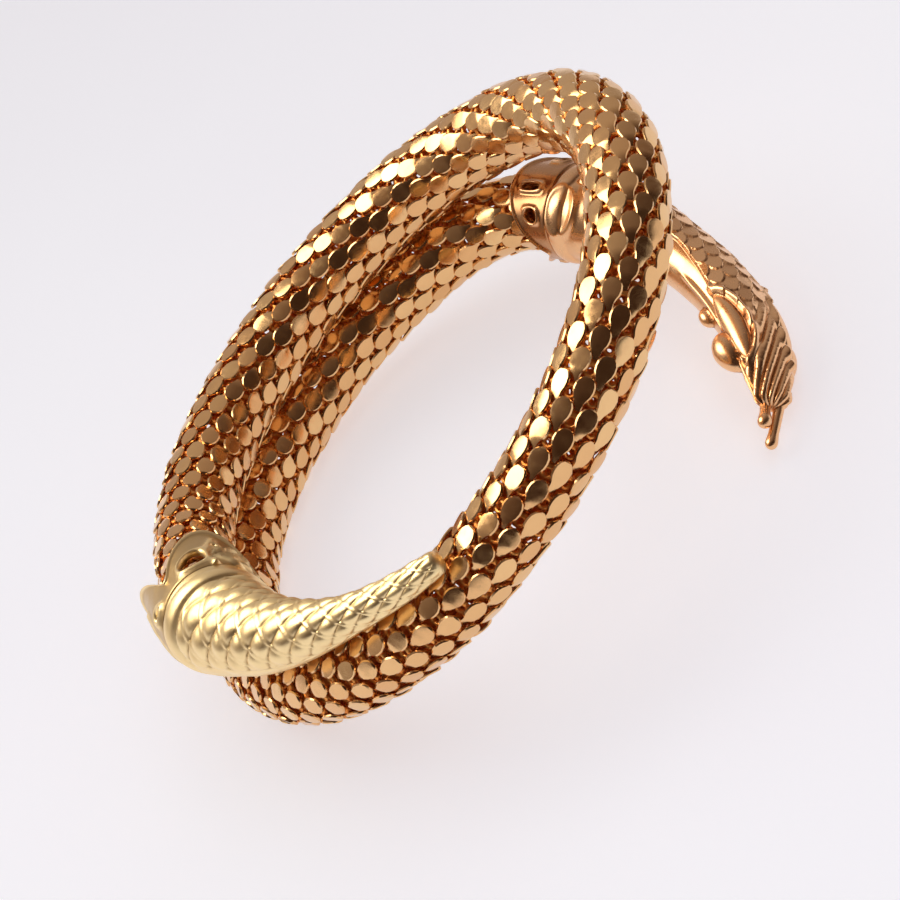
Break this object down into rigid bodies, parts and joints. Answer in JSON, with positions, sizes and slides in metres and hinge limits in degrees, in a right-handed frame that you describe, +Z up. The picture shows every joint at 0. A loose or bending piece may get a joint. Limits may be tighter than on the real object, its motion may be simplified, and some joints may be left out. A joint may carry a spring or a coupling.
{
  "type": "snake bracelet",
  "caption": "Coiled snake bracelet: a flexible round tube of lapped metal scales with a cast tapering tail and a cast head with a forked tongue.",
  "frame": {"origin": "middle of the bracelet's outline seen from above, on the surface that it lies on", "axes": "+Z up through the coil, the tail and its collar at the front left, the head at the right with its tongue towards the front"},
  "size_m": [0.0842, 0.0838, 0.0394],
  "materials": {
    "mesh_gold": "polished gold-tone scales over darker links",
    "tail_gold": "polished pale gold plate",
    "head_gold": "polished rose-gold plate"
  },
  "bodies": {
    "root": {"mesh_body": "mesh_gold", "tail": "tail_gold", "head": "head_gold"}
  },
  "joints": []
}
